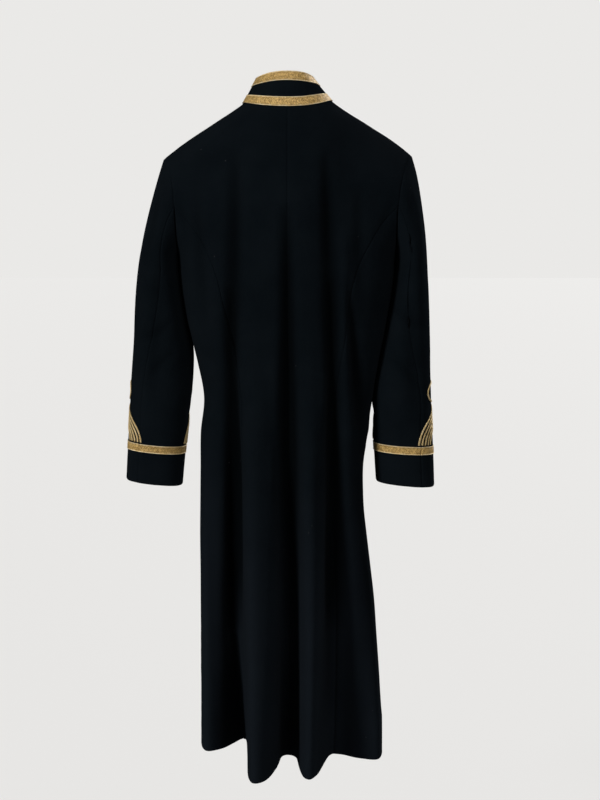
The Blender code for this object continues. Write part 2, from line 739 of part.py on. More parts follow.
def knotwork(word, side):
    """The nested arches and the three loops of cord on a sleeve."""
    band_top = SLEEVES[side][-1].height + CUFF_PLAIN + BRAID_WIDTH
    lengths = ring_lengths(side, round(band_top, 4))
    reach = round(at_height(SLEEVES[side], "hind", band_top) + 360 - motif_middle(side))
    half = lengths[reach] + ARCH_OVERRUN
    for number in range(ARCHES):
        width = half - CORD_PITCH * number
        height = ARCH_HEIGHT - CORD_PITCH * number * 1.3
        points = []
        for step in range(ARCH_POINTS):
            angle = math.pi * (step / (ARCH_POINTS - 1) - 0.5)
            part = math.sin(angle)
            up = height * arch_height(abs(part)) + SEAM_GAP + CORD_RADIUS
            points.append(on_sleeve(side, width * part, up))
        cord(f"cord_arch_{word}_{number + 1}", points, False)
    for loop in LOOPS:
        heading = math.radians(loop.heading)
        points = []
        for step in range(LOOP_POINTS):
            angle = 2 * math.pi * step / LOOP_POINTS
            away = loop.length * (1 - math.cos(angle)) / 2
            beside = loop.width / 2 * math.sin(angle) * (0.35 + 0.65 * math.sin(angle / 2))
            along = loop.along + away * math.cos(heading) - beside * math.sin(heading)
            up = loop.up + away * math.sin(heading) + beside * math.cos(heading)
            points.append(on_sleeve(side, along, up))
        cord(f"cord_loop_{word}_{loop.name}", points, True)


def front_point(rows, height):
    """Point and outward direction on the centre front column of the upper front."""
    column = 1
    points = [row[column] for row in rows]
    row = max(index for index, point in enumerate(points) if point.z <= height)
    part = (height - points[row].z) / (points[row + 1].z - points[row].z)
    point = points[row].lerp(points[row + 1], part)
    along = rows[row][column + 1] - rows[row][column - 1]
    outward = (points[row + 1] - points[row]).cross(along).normalized()
    return point, outward if outward.y < 0 else -outward


def button(number, place, outward):
    """A plain domed button on a short shank, turned from its outline."""
    outline = ((0, 1.0), (0.45, 0.92), (0.8, 0.7), (1.0, 0.38), (0.96, 0.2), (0.3, 0.2), (0.3, 0), (0, 0))
    mesh = bpy.data.meshes.new(f"button_{number}")
    points = [(BUTTON_RADIUS * across, 0, BUTTON_RISE * up) for across, up in outline]
    mesh.from_pydata(points, [(step, step + 1) for step in range(len(points) - 1)], [])
    new = add_object(f"button_{number}", mesh, BRASS)
    screw = new.modifiers.new("Turned", "SCREW")
    screw.steps = 12
    screw.render_steps = 12
    screw.use_merge_vertices = True
    screw.merge_threshold = 0.00001
    new.location = place + outward * (SEAM_GAP * 2)
    new.rotation_euler = outward.to_track_quat("Z", "Y").to_euler()


for old in list(bpy.data.objects):
    bpy.data.objects.remove(old, do_unlink=True)
coat = bpy.data.collections.new("naval_coat")
bpy.context.scene.collection.children.link(coat)

panels = {}
for word, side in SIDES.items():
    panels[f"back_{word}"] = (back_panel(side), side)
    panels[f"side_back_{word}"] = (side_back_panel(side), side)
    panels[f"front_{word}"] = (front_panel(side), -side)
    panels[f"top_sleeve_{word}"] = (top_sleeve(side), side)
    panels[f"under_sleeve_{word}"] = (under_sleeve(side), side)
panels["collar"] = (collar_rows(), 1)

# The right front passes under the left one at the centre front
under_rows, under_facing = panels["front_right"]
under_normals = grid_normals(under_rows, under_facing)
for row, points in enumerate(under_rows):
    for column, weight in enumerate(LAP_WEIGHTS):
        points[column] = points[column] - under_normals[row][column] * LAP_DEPTH * weight

normals = shared_normals(panels)
for name, (rows, facing) in panels.items():
    wall(name, drawn_in(rows), normals[name], WOOL, -CLOTH, 0)

lay_on("collar_braid_base", collar_rows()[:2], 1, GOLD_BRAID)
lay_on("collar_braid_top", collar_rows()[2:], 1, GOLD_BRAID)
for word, side in SIDES.items():
    for piece in ("top", "under"):
        rows, facing = panels[f"{piece}_sleeve_{word}"]
        lay_on(f"cuff_braid_{piece}_{word}", rows[-4:-2], facing, GOLD_BRAID)
    knotwork(word, side)
for number, height in enumerate(BUTTON_HEIGHTS):
    button(number + 1, *front_point(panels["front_left"][0], height))
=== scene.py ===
"""A long naval coat of black wool with gold braid, filled out as if worn, seen from behind."""
import json
import math
from collections import namedtuple

import bmesh
import bpy
import numpy as np
from mathutils import Matrix, Vector
from mathutils.bvhtree import BVHTree
from mathutils.kdtree import KDTree

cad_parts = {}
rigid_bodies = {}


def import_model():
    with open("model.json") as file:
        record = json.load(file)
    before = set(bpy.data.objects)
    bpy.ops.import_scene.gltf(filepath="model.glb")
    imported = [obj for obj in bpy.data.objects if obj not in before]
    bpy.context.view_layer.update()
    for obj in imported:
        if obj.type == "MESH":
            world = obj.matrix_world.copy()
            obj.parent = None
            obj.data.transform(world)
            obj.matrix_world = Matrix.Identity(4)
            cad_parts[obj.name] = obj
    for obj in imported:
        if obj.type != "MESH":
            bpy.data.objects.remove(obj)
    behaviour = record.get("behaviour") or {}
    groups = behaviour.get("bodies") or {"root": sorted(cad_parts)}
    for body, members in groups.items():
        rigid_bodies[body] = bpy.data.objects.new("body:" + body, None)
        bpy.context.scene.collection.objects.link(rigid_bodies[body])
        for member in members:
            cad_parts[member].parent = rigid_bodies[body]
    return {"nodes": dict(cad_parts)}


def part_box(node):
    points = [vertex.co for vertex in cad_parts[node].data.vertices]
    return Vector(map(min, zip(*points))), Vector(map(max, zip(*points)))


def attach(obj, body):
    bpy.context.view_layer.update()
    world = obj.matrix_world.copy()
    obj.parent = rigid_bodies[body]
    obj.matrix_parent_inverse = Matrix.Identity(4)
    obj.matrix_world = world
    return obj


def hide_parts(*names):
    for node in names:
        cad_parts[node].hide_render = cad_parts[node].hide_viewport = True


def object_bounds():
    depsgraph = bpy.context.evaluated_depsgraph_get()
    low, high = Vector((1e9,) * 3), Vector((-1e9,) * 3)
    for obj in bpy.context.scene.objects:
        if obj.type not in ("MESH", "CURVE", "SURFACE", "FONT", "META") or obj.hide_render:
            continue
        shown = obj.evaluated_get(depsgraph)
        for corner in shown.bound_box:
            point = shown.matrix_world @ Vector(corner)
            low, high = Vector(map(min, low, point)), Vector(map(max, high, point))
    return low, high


for old in list(bpy.data.objects):
    bpy.data.objects.remove(old, do_unlink=True)
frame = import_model()
cad_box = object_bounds()
MM = 0.001

# The cut pieces.
# Heavy black wool, cut in six pieces for the body, two for each sleeve and one for the collar.
# The outer faces of the solids give their form; each becomes a finer wall whose edges turn in
# at the seams, with soft creases where the coat bends and hangs.
CLOTH = 1.7 * MM
WELD = 0.05 * MM
RIM_LIMIT = 2.8 * MM
CHEST = -0.42
TOP_BAND = 10 * MM
SPACING = 4.6 * MM
EDGE_STEPS = (-0.3 * MM, 0.5 * MM, 1.4 * MM, 2.8 * MM)
EDGE_CLEAR = 1.5
TINY = 1e-12


def rows_from(corner):
    """Rows of vertices of a grid of triangles, walked from one of its corners."""
    first = [corner]
    seen = {corner}
    while len(first) == 1 or len(first[-1].link_edges) == 4:
        first.append(next(edge.other_vert(first[-1]) for edge in first[-1].link_edges
                          if edge.is_boundary and edge.other_vert(first[-1]) not in seen))
        seen.add(first[-1])
    rows = [first]
    while True:
        row = rows[-1]
        following = [edge.other_vert(row[0]) for edge in row[0].link_edges
                     if edge.is_boundary and edge.other_vert(row[0]) not in seen]
        if not following:
            return rows
        for near, far in zip(row, row[1:]):
            edge = next(edge for edge in near.link_edges if edge.other_vert(near) is far)
            following.append(next(vert for face in edge.link_faces for vert in face.verts
                                  if vert not in seen))
        seen.update(following)
        rows.append(following)


def rise(sheet, axis):
    """How far a grid rises along one of its two directions."""
    return abs(np.diff(sheet[:, :, 2], axis=axis).sum(axis=axis)).mean()


def grid_of(node, middle):
    """Points of the outer face of a solid wall round a middle, in rows from the lowest row up.

    The skirt's folds turn back on themselves, so the outer face is told by how far it lies from
    the middle above the foot of the chest, or in its top band where it lies wholly lower.
    """
    body = bmesh.new()
    body.from_mesh(frame["nodes"][node].data)
    bmesh.ops.remove_doubles(body, verts=body.verts, dist=WELD)
    rims = [face for face in body.faces if min(edge.calc_length() for edge in face.edges) < RIM_LIMIT]
    bmesh.ops.delete(body, geom=rims, context="FACES")
    best = None
    for corner in body.verts:
        if not corner.is_boundary or len(corner.link_edges) != 3:
            continue
        sheet = np.array([[tuple(vert.co) for vert in row] for row in rows_from(corner)])
        if rise(sheet, 1) > rise(sheet, 0):
            sheet = sheet.transpose(1, 0, 2)
        if sheet[0, :, 2].mean() > sheet[-1, :, 2].mean():
            sheet = sheet[::-1]
        upper = sheet[sheet[:, :, 2] > min(CHEST, sheet[:, :, 2].max() - TOP_BAND)]
        reach = np.linalg.norm(upper[:, :2] - middle, axis=1).mean()
        if best is None or reach > best[0]:
            best = (reach, sheet)
    body.free()
    sheet = best[1]
    outward = sheet - np.array([*middle, 0.0])
    upper = sheet[:, :, 2] > CHEST if (sheet[:, :, 2] > CHEST).any() else sheet[:, :, 2] < 0
    facing = (normals_of(sheet)[:, :, :2] * outward[:, :, :2]).sum(axis=2)[upper].sum()
    return sheet if facing > 0 else sheet[:, ::-1]


def normals_of(points):
    """Outward directions of a grid whose rows go up and whose columns go round."""
    up = np.gradient(points, axis=0)
    along = np.gradient(points, axis=1)
    across = np.cross(up, along)
    return across / np.maximum(np.linalg.norm(across, axis=2, keepdims=True), TINY)


def places_along(grid, axis, spacing):
    """Places at which to cut a grid along one of its directions, in cells, closer at its edges."""
    lengths = np.linalg.norm(np.diff(grid, axis=axis), axis=2).mean(axis=1 - axis)
    last = len(lengths)
    even = []
    for cell, length in enumerate(lengths):
        cuts = max(1, round(length / spacing))
        even += [cell + cut / cuts for cut in range(cuts)]
    near = [step / lengths[0] for step in EDGE_STEPS]
    far = [last - step / lengths[-1] for step in reversed(EDGE_STEPS)]
    low = near[-1] * EDGE_CLEAR
    high = last - (last - far[0]) * EDGE_CLEAR
    return np.array(near + [place for place in even if low < place < high] + far)


def resampled(grid, places):
    """Points of the smooth surface through the rows of a grid, at places counted in rows."""
    slopes = np.gradient(grid, axis=0)
    cell = np.clip(places.astype(int), 0, len(grid) - 2)
    part = (places - cell).reshape(-1, *[1] * (grid.ndim - 1))
    square = part ** 2
    cube = part ** 3
    return (grid[cell] * (2 * cube - 3 * square + 1) + slopes[cell] * (cube - 2 * square + part)
            + grid[cell + 1] * (3 * square - 2 * cube) + slopes[cell + 1] * (cube - square))


def fine_grid(grid, spacing):
    rows = resampled(grid, places_along(grid, 0, spacing))
    return resampled(rows.transpose(1, 0, 2), places_along(grid, 1, spacing)).transpose(1, 0, 2)


def lengths_along(points, axis):
    """Length from a grid's first edge to each of its points, along one of its directions."""
    steps = np.linalg.norm(np.diff(points, axis=axis), axis=2)
    start = np.zeros_like(steps.take([0], axis=axis))
    return np.concatenate([start, steps.cumsum(axis=axis)], axis=axis)


def side_of(name):
    return name.split("_")[-1]


def middle_of(*nodes):
    """Level middle of the box round some of the solids."""
    corners = [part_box(node) for node in nodes]
    low = np.min([tuple(low) for low, _high in corners], axis=0)
    high = np.max([tuple(high) for _low, high in corners], axis=0)
    return ((low + high) / 2)[:2]


# The coat's left lies toward +x, and its back toward +y.
SIDES = {"left": 1, "right": -1}
BODY_PANELS = [f"{piece}_{side}" for piece in ("back", "side_back", "front") for side in SIDES]
SLEEVE_PANELS = [f"{piece}_sleeve_{side}" for side in SIDES for piece in ("top", "under")]
sleeve_middles = {side: middle_of(f"top_sleeve_{side}", f"under_sleeve_{side}") for side in SIDES}
spacing = SPACING * 1
shapes = {}
for name in BODY_PANELS + ["collar"]:
    shapes[name] = fine_grid(grid_of(name, (0.0, 0.0)), spacing)
for name in SLEEVE_PANELS:
    shapes[name] = fine_grid(grid_of(name, sleeve_middles[side_of(name)]), spacing)

# Creases, as soft troughs and ridges. On the body, across and up are x and z as the coat is faced
# from behind or from the front; on a sleeve, across is the turn round it in degrees, 0 at its
# outer side, 90 at its back and 270 at its front. Width and depth are in millimetres, with a depth
# less than 0 for a trough. The broad trough down the right side is in both, as it lies between them.
Crease = namedtuple("Crease", "where start middle end width depth")
CREASES = (
    Crease("back", (0.094, -0.085), (0.091, -0.25), (0.098, -0.47), 13, -9.0),
    Crease("back", (0.158, -0.150), (0.156, -0.27), (0.146, -0.40), 12, -4.0),
    Crease("back", (0.120, -0.200), (0.122, -0.34), (0.118, -0.52), 14, 1.6),
    Crease("back", (0.128, -0.360), (0.130, -0.52), (0.134, -0.80), 15, 1.8),
    Crease("back", (-0.038, -0.380), (-0.038, -0.62), (-0.040, -0.96), 17, 4.5),
    Crease("back", (0.045, -0.130), (0.040, -0.26), (0.038, -0.42), 20, 1.2),
    Crease("back", (0.002, -0.180), (-0.002, -0.48), (-0.003, -0.96), 13, -15.0),
    Crease("back", (0.103, -0.320), (0.099, -0.62), (0.099, -0.98), 12, -17.0),
    Crease("back", (-0.076, -0.310), (-0.084, -0.55), (-0.085, -0.96), 12, -15.0),
    Crease("back", (-0.082, -0.720), (-0.080, -0.92), (-0.076, -1.14), 10, -6.0),
    Crease("back", (0.062, -0.380), (0.060, -0.66), (0.060, -1.00), 20, 4.5),
    Crease("back", (-0.067, -0.090), (-0.074, -0.24), (-0.076, -0.48), 13, -9.5),
    Crease("back", (-0.036, -0.150), (-0.034, -0.28), (-0.034, -0.44), 18, 1.2),
    Crease("back", (-0.124, -0.150), (-0.126, -0.26), (-0.128, -0.40), 11, -4.5),
    Crease("back", (-0.098, -0.220), (-0.103, -0.38), (-0.108, -0.62), 9, 4.2),
    Crease("back", (-0.102, -0.300), (-0.120, -0.46), (-0.140, -0.62), 12, -10.0),
    Crease("back", (-0.190, -0.172), (-0.170, -0.205), (-0.150, -0.250), 8, -2.2),
    Crease("back", (0.190, -0.175), (0.178, -0.22), (0.166, -0.290), 8, -1.6),
    Crease("back", (0.030, -0.600), (0.030, -0.86), (0.028, -1.17), 13, 7.0),
    Crease("back", (-0.150, -0.700), (-0.148, -0.85), (-0.152, -1.02), 20, -1.6),
    Crease("back", (-0.118, -0.760), (-0.120, -0.92), (-0.128, -1.10), 18, 1.4),
    Crease("back", (0.140, -0.760), (0.142, -0.93), (0.140, -1.08), 15, -1.5),
    Crease("back", (-0.140, -0.490), (-0.120, -0.505), (-0.098, -0.500), 7, -1.2),
    Crease("back", (-0.140, -0.590), (-0.146, -0.75), (-0.184, -1.140), 28, -7.5),
    Crease("back", (0.150, -0.480), (0.134, -0.500), (0.114, -0.497), 7, -1.1),
    Crease("front", (0.120, -0.110), (0.124, -0.21), (0.118, -0.34), 15, -5.2),
    Crease("front", (0.168, -0.170), (0.156, -0.25), (0.150, -0.35), 11, -5.2),
    Crease("front", (0.066, -0.140), (0.070, -0.25), (0.078, -0.37), 17, 2.8),
    Crease("front", (0.120, -0.400), (0.112, -0.53), (0.122, -0.68), 13, -4.4),
    Crease("front", (0.064, -0.440), (0.058, -0.56), (0.064, -0.72), 17, 3.0),
    Crease("front", (0.034, -0.520), (0.060, -0.508), (0.104, -0.516), 6, -2.6),
    Crease("front", (0.046, -0.478), (0.084, -0.482), (0.120, -0.470), 6, -2.0),
    Crease("front", (0.056, -0.640), (0.066, -0.85), (0.058, -1.12), 20, -4.8),
    Crease("front", (0.108, -0.720), (0.104, -0.93), (0.116, -1.17), 16, 5.2),
    Crease("front", (-0.112, -0.120), (-0.116, -0.23), (-0.110, -0.35), 14, -5.6),
    Crease("front", (-0.164, -0.165), (-0.150, -0.25), (-0.146, -0.36), 11, -4.6),
    Crease("front", (-0.058, -0.150), (-0.064, -0.27), (-0.072, -0.38), 18, 2.6),
    Crease("front", (-0.108, -0.410), (-0.116, -0.54), (-0.108, -0.70), 12, -4.8),
    Crease("front", (-0.044, -0.512), (-0.076, -0.522), (-0.116, -0.508), 6, -2.6),
    Crease("front", (-0.062, -0.468), (-0.090, -0.480), (-0.124, -0.474), 7, -2.0),
    Crease("front", (-0.052, -0.620), (-0.060, -0.84), (-0.068, -1.10), 19, -4.4),
    Crease("front", (-0.102, -0.700), (-0.114, -0.92), (-0.108, -1.17), 17, 5.0),
    Crease("front", (-0.150, -0.620), (-0.158, -0.80), (-0.160, -1.05), 14, -3.6),
    Crease("front", (0.150, -0.640), (0.152, -0.82), (0.156, -1.02), 13, -3.4),
    Crease("front", (-0.140, -0.590), (-0.146, -0.75), (-0.184, -1.140), 28, -7.5),
    Crease("left sleeve", (60, -0.150), (74, -0.22), (66, -0.30), 12, -3.2),
    Crease("left sleeve", (30, -0.260), (40, -0.40), (36, -0.56), 13, 2.3),
    Crease("left sleeve", (92, -0.300), (88, -0.42), (94, -0.54), 11, -3.1),
    Crease("left sleeve", (118, -0.380), (92, -0.425), (58, -0.410), 9, -2.7),
    Crease("left sleeve", (126, -0.440), (96, -0.470), (70, -0.500), 9, -2.5),
    Crease("left sleeve", (200, -0.345), (240, -0.366), (282, -0.350), 8, -4.3),
    Crease("left sleeve", (190, -0.392), (232, -0.402), (274, -0.420), 8, -5.0),
    Crease("left sleeve", (206, -0.446), (244, -0.440), (290, -0.464), 8, -4.0),
    Crease("left sleeve", (196, -0.372), (240, -0.384), (270, -0.386), 7, 2.9),
    Crease("left sleeve", (318, -0.160), (306, -0.23), (312, -0.33), 13, -3.2),
    Crease("left sleeve", (344, -0.320), (330, -0.42), (340, -0.52), 14, -2.7),
    Crease("left sleeve", (150, -0.520), (172, -0.560), (206, -0.572), 8, -2.3),
    Crease("right sleeve", (52, -0.150), (70, -0.23), (60, -0.31), 12, -3.4),
    Crease("right sleeve", (34, -0.300), (44, -0.42), (32, -0.55), 12, 2.5),
    Crease("right sleeve", (86, -0.330), (80, -0.46), (88, -0.60), 11, -3.4),
    Crease("right sleeve", (112, -0.360), (84, -0.400), (50, -0.392), 9, -2.9),
    Crease("right sleeve", (120, -0.452), (90, -0.476), (62, -0.512), 8, -2.7),
    Crease("right sleeve", (196, -0.350), (238, -0.358), (280, -0.372), 8, -4.5),
    Crease("right sleeve", (204, -0.410), (240, -0.396), (286, -0.410), 8, -4.7),
    Crease("right sleeve", (192, -0.452), (230, -0.462), (276, -0.448), 9, -3.8),
    Crease("right sleeve", (200, -0.382), (238, -0.378), (268, -0.394), 7, 2.7),
    Crease("right sleeve", (312, -0.170), (300, -0.25), (310, -0.34), 13, -3.4),
    Crease("right sleeve", (340, -0.330), (328, -0.41), (336, -0.51), 13, -2.5),
    Crease("right sleeve", (146, -0.530), (176, -0.552), (210, -0.580), 8, -2.3),
)
CREASE_STEPS = 12
CREASE_START = 0.75
CREASE_WIDENING = 0.5
CREASE_TAPER = 0.6
CREASE_ENDS = (0.001, 0.999)
# How deep a crease is where the shade painted into the wool is at its fullest.
DEEP_CREASE = 11 * MM
BEHIND_SLOPE = 1.6
SLEEVE_RADIUS = 0.05
CUFF_TOP = -0.60
CUFF_FADE = 0.05

# From the higher level to the lower one, a sleeve slants outward and forward.
SLEEVE_LEVELS = (-0.7, -0.2)
SLEEVE_SLANTS = (0.02, -0.02)


def crease_place(name, points):
    """Places of a panel's points in the plane that its creases are laid out in, in metres."""
    if "sleeve" not in name:
        return points[:, :, 0], points[:, :, 2]
    side = side_of(name)
    middle = sleeve_middles[side]
    slant = np.interp(points[:, :, 2], SLEEVE_LEVELS, SLEEVE_SLANTS)
    out = SIDES[side] * (points[:, :, 0] - middle[0]) - slant
    back = points[:, :, 1] - middle[1] + slant
    return np.arctan2(back, out) % (2 * math.pi) * SLEEVE_RADIUS, points[:, :, 2]


# Where a sleeve rests against the body, both swell a little, from one height to another.
Rest = namedtuple("Rest", "low high")
SLEEVE_RESTS = {"left": Rest(-0.415, -0.268), "right": Rest(-0.560, -0.270)}
REST_SWELL = 2.6 * MM
REST_FADE = 0.035
REST_SLOPE = 2
REST_TURN = 0.6


def rest_depths(name, points, normals):
    """How far a panel swells where a sleeve rests against the body."""
    side = side_of(name)
    rest = SLEEVE_RESTS[side]
    toward_sleeve = SIDES[side] * (-1 if "sleeve" in name else 1)
    facing = np.clip(normals[:, :, 0] * toward_sleeve * REST_SLOPE - REST_TURN, 0, 1)
    up = points[:, :, 2]
    inside = np.clip((up - rest.low) / REST_FADE, 0, 1) * np.clip((rest.high - up) / REST_FADE, 0, 1)
    return REST_SWELL * facing * inside


def crease_line(crease):
    """Points along the middle line of a crease, from its start past its middle to its end."""
    scale = math.radians(1) * SLEEVE_RADIUS if "sleeve" in crease.where else 1.0
    corners = np.array((crease.start, crease.middle, crease.end)) * (scale, 1.0)
    parts = np.linspace(0, 1, CREASE_STEPS + 1)[:, None]
    rest = 1 - parts
    return rest ** 2 * corners[0] + 2 * parts * rest * corners[1] + parts ** 2 * corners[2]


def crease_depth(crease, across, up):
    """How far one crease moves some places out: it widens along its line, and fades at its ends."""
    line = crease_line(crease)
    nearest = np.full(across.shape, np.inf)
    nearest_part = np.zeros(across.shape)
    for step, (here, there) in enumerate(zip(line, line[1:])):
        run = there - here
        share = ((across - here[0]) * run[0] + (up - here[1]) * run[1]) / (run @ run)
        share = np.clip(share, 0, 1)
        apart = (across - here[0] - share * run[0]) ** 2 + (up - here[1] - share * run[1]) ** 2
        closer = apart < nearest
        nearest = np.where(closer, apart, nearest)
        nearest_part = np.where(closer, (step + share) / CREASE_STEPS, nearest_part)
    width = crease.width * MM * (CREASE_START + CREASE_WIDENING * nearest_part)
    taper = np.sin(math.pi * np.clip(nearest_part, *CREASE_ENDS)) ** CREASE_TAPER
    return crease.depth * MM * taper * np.exp(-nearest / width ** 2)


def crease_depths(name, points, normals):
    """How far each point of a panel moves out by all of its creases."""
    across, up = crease_place(name, points)
    if "sleeve" in name:
        shares = {f"{side_of(name)} sleeve": np.clip((up - CUFF_TOP) / CUFF_FADE, 0, 1)}
    else:
        behind = np.clip(normals[:, :, 1] * BEHIND_SLOPE + 0.5, 0, 1)
        shares = {"back": behind, "front": 1 - behind}
    return sum(shares[crease.where] * crease_depth(crease, across, up)
               for crease in CREASES if crease.where in shares)


# Between the creases the cloth is a little uneven all over, and puckers where it is stitched. Both
# are waves of a few sines, each turned from the one before.
UNEVEN_LENGTH = 90 * MM
UNEVEN_HEIGHT = 0.5 * MM
PUCKER_LENGTH = 26 * MM
PUCKER_HEIGHT = 0.35 * MM
PUCKER_REACH = 9 * MM
COLLAR_PUCKER = 0.3
WAVES = 6
WAVE_TURN = 2.399
WAVE_RISE = 0.7
WAVE_RISE_TURN = 1.7
WAVE_FIRST = 0.7
WAVE_STEP = 0.13
WAVE_SHIFT = 3.1


def waves(points, size, seed):
    """Smooth uneven waves of height 1, from a few crossing sines."""
    total = np.zeros(points.shape[:2])
    for index in range(WAVES):
        angle = seed + index * WAVE_TURN
        way = np.array([math.cos(angle), math.sin(angle), WAVE_RISE * math.cos(angle * WAVE_RISE_TURN)])
        pace = 2 * math.pi / size * (WAVE_FIRST + WAVE_STEP * index)
        total += np.sin(points @ way * pace + angle * WAVE_SHIFT)
    return total / WAVES


def from_edge(points):
    """Length from each point of a grid to the nearest of its four edges."""
    up = lengths_along(points, 0)
    across = lengths_along(points, 1)
    return np.min([up, up[-1:] - up, across, across[:, -1:] - across], axis=0)


def pucker(points):
    """Small waves along a panel's seams, as its stitches draw the cloth in."""
    near = np.exp(-(from_edge(points) / PUCKER_REACH) ** 2)
    return near * waves(points, PUCKER_LENGTH, 1.0) * PUCKER_HEIGHT


# Panels meet at a seam where they lie this close and face much the same way.
SEAM_REACH = 1.2 * MM
SEAM_FACING = 0.2


def panel_normals():
    """Normals of all panels, made equal where two of them meet at a seam."""
    own_normals = {name: normals_of(points) for name, points in shapes.items()}
    edges = []
    for name, points in shapes.items():
        rows, columns = points.shape[:2]
        for row in range(rows):
            for column in (range(columns) if row in (0, rows - 1) else (0, columns - 1)):
                edges.append((name, row, column))
    tree = KDTree(len(edges))
    for index, (name, row, column) in enumerate(edges):
        tree.insert(shapes[name][row, column], index)
    tree.balance()
    shared = {name: normals.copy() for name, normals in own_normals.items()}
    for name, row, column in edges:
        own = own_normals[name][row, column]
        total = np.zeros(3)
        for _point, index, _apart in tree.find_range(shapes[name][row, column], SEAM_REACH):
            other, other_row, other_column = edges[index]
            normal = own_normals[other][other_row, other_column]
            if ("sleeve" in other) == ("sleeve" in name) and normal @ own > SEAM_FACING:
                total += normal
        shared[name][row, column] = total / max(np.linalg.norm(total), TINY)
    return shared


plain_normals = panel_normals()
painted_crease_shades = {}
for name, points in shapes.items():
    out = waves(points, UNEVEN_LENGTH, 2.0) * UNEVEN_HEIGHT
    if name == "collar":
        painted_crease_shades[name] = np.zeros(points.shape[:2])
        out += pucker(points) * COLLAR_PUCKER
    else:
        creased = crease_depths(name, points, plain_normals[name])
        # How far a point lies down in its creases sets how much shade is painted into the wool there.
        painted_crease_shades[name] = np.clip(-creased / DEEP_CREASE, 0, 1)
        out += creased + rest_depths(name, points, plain_normals[name]) + pucker(points)
    shapes[name] = points + plain_normals[name] * out[:, :, None]
creased_normals = panel_normals()


def add_mesh(name, points, faces, uvs):
    """A new object of a mesh, with a place in its map for each of its points."""
    mesh = bpy.data.meshes.new(name)
    mesh.from_pydata(points, [], faces)
    layer = mesh.uv_layers.new(name="cloth")
    corners = np.zeros(len(mesh.loops), int)
    mesh.loops.foreach_get("vertex_index", corners)
    layer.data.foreach_set("uv", np.asarray(uvs)[corners].ravel())
    mesh.shade_smooth()
    new = bpy.data.objects.new(name, mesh)
    bpy.context.scene.collection.objects.link(new)
    return new


def cells_of(spots):
    """Faces between the numbered points of a grid, facing outward."""
    cells = np.stack([spots[:-1, :-1], spots[:-1, 1:], spots[1:, 1:], spots[1:, :-1]], axis=2)
    return cells.reshape(-1, 4)[:, ::-1]


# At its seams and hems the cloth turns in: its outer face drops, and it is this thin at its edge.
EDGE_TURN = 4.2 * MM
EDGE_DROP = 1.8 * MM
EDGE_THIN = 0.4 * MM


def cloth_wall(name, points, normals, painted_crease_shade):
    """A closed wall of cloth whose outer face is a grid of points and whose edges turn in.

    Its map runs in metres across it and up it. How far each point lies down in a crease, from 0
    to 1, is kept with it for the shade painted into the wool's colour.
    """
    rows, columns = points.shape[:2]
    turn = np.clip(1 - from_edge(points) / EDGE_TURN, 0, 1) ** 2
    outer = points - normals * (turn * EDGE_DROP)[:, :, None]
    inner = points - normals * (CLOTH * (1 - turn) + (EDGE_DROP + EDGE_THIN) * turn)[:, :, None]
    across = lengths_along(points, 1)
    uvs = np.stack([across - across[:, -1:] / 2, lengths_along(points, 0)], axis=2).reshape(-1, 2)
    spots = np.arange(rows * columns).reshape(rows, columns)
    front = cells_of(spots)
    back = front[:, ::-1] + rows * columns
    around = np.concatenate([spots[0, :], spots[1:, -1], spots[-1, -2::-1], spots[-2:0:-1, 0]])
    beyond = np.roll(around, -1)
    rim = np.stack([around, beyond, beyond + rows * columns, around + rows * columns], axis=1)
    faces = np.concatenate([front, back, rim[:, ::-1]])
    new = add_mesh(name, np.concatenate([outer, inner]).reshape(-1, 3).tolist(), faces.tolist(),
                   np.concatenate([uvs, uvs]))
    kept = new.data.attributes.new("painted_crease_shade", "FLOAT", "POINT")
    kept.data.foreach_set("value", np.concatenate([painted_crease_shade, painted_crease_shade]).ravel())
    return new


# The wool is close to black with a little blue in it, matt, with a fine twill and a short soft nap.
# It has picked up a few specks of lint. It is painted paler toward the hem as light from below,
# and painted darker in the creases as shade.
WOOL_PAINTED_SHADE = (0.0006, 0.0010, 0.0012)
WOOL_DARK = (0.0024, 0.0038, 0.0051)
WOOL_LIGHT = (0.0039, 0.0058, 0.0075)
# A paler tone painted toward the hem, as light from below.
WOOL_PAINTED_HEM_LIGHT = (0.0084, 0.0108, 0.0145)
LINT = (0.035, 0.036, 0.038)
LINT_SIZE = 5 * MM
LINT_SPAN = (0.912, 0.922)
HEM_LIGHT_SPAN = (0.55, 0.95)
HEM_LIGHT_SHARE = 0.45
PAINTED_SHADE_SHARE = 0.85
CLOUDS = 70 * MM
NAP = 1.6 * MM
TWILL = 1.5 * MM
NAP_DEPTH = 0.35 * MM

# Places of a colour mix's share, its two colours and its result among its sockets.
MIX_SHARE = 0
MIX_FIRST = 6
MIX_SECOND = 7
MIX_RESULT = 2


class Socket:
    """An output of a shader node. A sum or product of two adds the node that works it out."""

    def __init__(self, look, output):
        self.look = look
        self.output = output

    def maths(self, operation, first, second=0.0):
        return self.look.node("ShaderNodeMath", {"operation": operation}, {0: first, 1: second})

    def __add__(self, other):
        return self.maths("ADD", self, other)

    def __sub__(self, other):
        return self.maths("SUBTRACT", self, other)

    def __rsub__(self, other):
        return self.maths("SUBTRACT", other, self)

    def __mul__(self, other):
        return self.maths("MULTIPLY", self, other)

    def __abs__(self):
        return self.maths("ABSOLUTE", self)

    def wave(self, length):
        """A wave from 0 to 1 that repeats at each length."""
        return self.maths("SINE", self * (2 * math.pi / length)) * 0.5 + 0.5

    def step(self, low, high):
        """0 below low and 1 above high, with a soft rise between them."""
        return self.look.node("ShaderNodeMapRange", {"interpolation_type": "SMOOTHSTEP"},
                              {"Value": self, "From Min": low, "From Max": high}, "Result")


